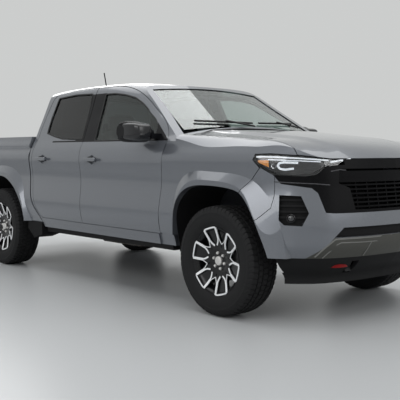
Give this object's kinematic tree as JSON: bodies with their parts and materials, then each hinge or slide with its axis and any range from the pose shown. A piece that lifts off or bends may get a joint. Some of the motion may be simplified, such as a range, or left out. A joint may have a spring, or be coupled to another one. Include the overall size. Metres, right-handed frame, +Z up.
{
  "type": "pickup truck",
  "caption": "Mid-size crew-cab pickup truck with opening doors, hood and tailgate, steered front wheels, ladder frame and an open bed.",
  "frame": {"origin": "centre of the truck's outline on the ground under its parked wheels", "axes": "+X forward, +Y to the driver's side, which is the left, +Z up"},
  "size_m": [5.417, 2.166, 1.9915],
  "materials": {
    "alloy": "painted and machined",
    "black_plastic": "grained",
    "brushed_pipe": "brushed",
    "cast_metal": "cast",
    "chassis_steel": "satin",
    "clear_glass": "clear",
    "dark_glass": "privacy tint",
    "gloss_black": "gloss",
    "lens": "clear",
    "paint": "metallic gloss",
    "red_lens": "gloss",
    "red_metal": "gloss",
    "satin_metal": "satin",
    "seat_cloth": "woven",
    "tyre": "matte",
    "wheel_leather": "smooth"
  },
  "bodies": {
    "truck": {"antenna": "black_plastic", "bed": "black_plastic", "bedside_left": "paint", "bedside_right": "paint", "cab": "paint", "cowl": "black_plastic", "dashboard": "black_plastic", "driveline": "cast_metal", "engine": "cast_metal", "exhaust": "brushed_pipe", "fender_left": "paint", "fender_right": "paint", "fog_lamps": "black_plastic", "frame": "chassis_steel", "front_bumper": "paint", "front_seats": "seat_cloth", "front_suspension": "chassis_steel", "fuel_tank": "black_plastic", "grille": "gloss_black", "headlamp_left": "black_plastic", "headlamp_lens_left": "lens", "headlamp_lens_right": "lens", "headlamp_right": "black_plastic", "lower_bumper": "black_plastic", "radiator": "black_plastic", "rear_axle": "cast_metal", "rear_bumper": "black_plastic", "rear_seat": "seat_cloth", "rear_suspension": "chassis_steel", "rear_window": "dark_glass", "side_trim": "black_plastic", "skid_plate": "satin_metal", "spare_wheel": "tyre", "tail_lamps": "red_lens", "tow_hooks": "red_metal", "wheel_liners": "black_plastic", "windshield": "clear_glass"},
    "front_door_right": {"front_door_right": "paint", "front_door_glass_right": "clear_glass", "mirror_right": "gloss_black"},
    "rear_door_right": {"rear_door_right": "paint", "rear_door_glass_right": "dark_glass"},
    "knuckle_right": {"knuckle_right": "cast_metal"},
    "wheel_front_right": {"tyre_front_right": "tyre", "rim_front_right": "alloy"},
    "wheel_rear_right": {"tyre_rear_right": "tyre", "rim_rear_right": "alloy"},
    "front_door_left": {"front_door_left": "paint", "front_door_glass_left": "clear_glass", "mirror_left": "gloss_black"},
    "rear_door_left": {"rear_door_left": "paint", "rear_door_glass_left": "dark_glass"},
    "knuckle_left": {"knuckle_left": "cast_metal"},
    "wheel_front_left": {"tyre_front_left": "tyre", "rim_front_left": "alloy"},
    "wheel_rear_left": {"tyre_rear_left": "tyre", "rim_rear_left": "alloy"},
    "hood": {"hood": "paint"},
    "tailgate": {"tailgate": "paint"},
    "steering_wheel": {"steering_wheel": "wheel_leather"}
  },
  "joints": [
    {"name": "front_door_right_hinge", "type": "hinge", "parent": "truck", "child": "front_door_right", "pos_m": [1.162, -0.945, 0.9], "axis": [0, 0, 1], "range_deg": [0, 65]},
    {"name": "rear_door_right_hinge", "type": "hinge", "parent": "truck", "child": "rear_door_right", "pos_m": [-0.008, -0.938, 0.9], "axis": [0, 0, 1], "range_deg": [0, 68]},
    {"name": "steer_right", "type": "hinge", "parent": "truck", "child": "knuckle_right", "pos_m": [1.8, -0.7, 0.397], "axis": [0, 0, 1], "range_deg": [-32, 32]},
    {"name": "wheel_front_right_spin", "type": "hinge", "parent": "knuckle_right", "child": "wheel_front_right", "pos_m": [1.8, -0.828, 0.397], "axis": [0, 1, 0], "continuous": true},
    {"name": "wheel_rear_right_spin", "type": "hinge", "parent": "truck", "child": "wheel_rear_right", "pos_m": [-1.537, -0.828, 0.397], "axis": [0, 1, 0], "continuous": true},
    {"name": "front_door_left_hinge", "type": "hinge", "parent": "truck", "child": "front_door_left", "pos_m": [1.162, 0.945, 0.9], "axis": [0, 0, -1], "range_deg": [0, 65]},
    {"name": "rear_door_left_hinge", "type": "hinge", "parent": "truck", "child": "rear_door_left", "pos_m": [-0.008, 0.938, 0.9], "axis": [0, 0, -1], "range_deg": [0, 68]},
    {"name": "steer_left", "type": "hinge", "parent": "truck", "child": "knuckle_left", "pos_m": [1.8, 0.7, 0.397], "axis": [0, 0, 1], "range_deg": [-32, 32]},
    {"name": "wheel_front_left_spin", "type": "hinge", "parent": "knuckle_left", "child": "wheel_front_left", "pos_m": [1.8, 0.828, 0.397], "axis": [0, 1, 0], "continuous": true},
    {"name": "wheel_rear_left_spin", "type": "hinge", "parent": "truck", "child": "wheel_rear_left", "pos_m": [-1.537, 0.828, 0.397], "axis": [0, 1, 0], "continuous": true},
    {"name": "hood_hinge", "type": "hinge", "parent": "truck", "child": "hood", "pos_m": [1.36, 0, 1.372], "axis": [0, -1, 0], "range_deg": [0, 50]},
    {"name": "tailgate_hinge", "type": "hinge", "parent": "truck", "child": "tailgate", "pos_m": [-2.637, 0, 0.837], "axis": [0, -1, 0], "range_deg": [0, 90]},
    {"name": "steering_wheel_turn", "type": "hinge", "parent": "truck", "child": "steering_wheel", "pos_m": [0.615, 0.38, 1.135], "axis": [-0.9249, 0, 0.3801], "range_deg": [-480, 480]}
  ],
  "couplings": [
    {"joint": "steer_right", "follows": "steer_left", "ratio": 1},
    {"joint": "steering_wheel_turn", "follows": "steer_left", "ratio": 15}
  ]
}
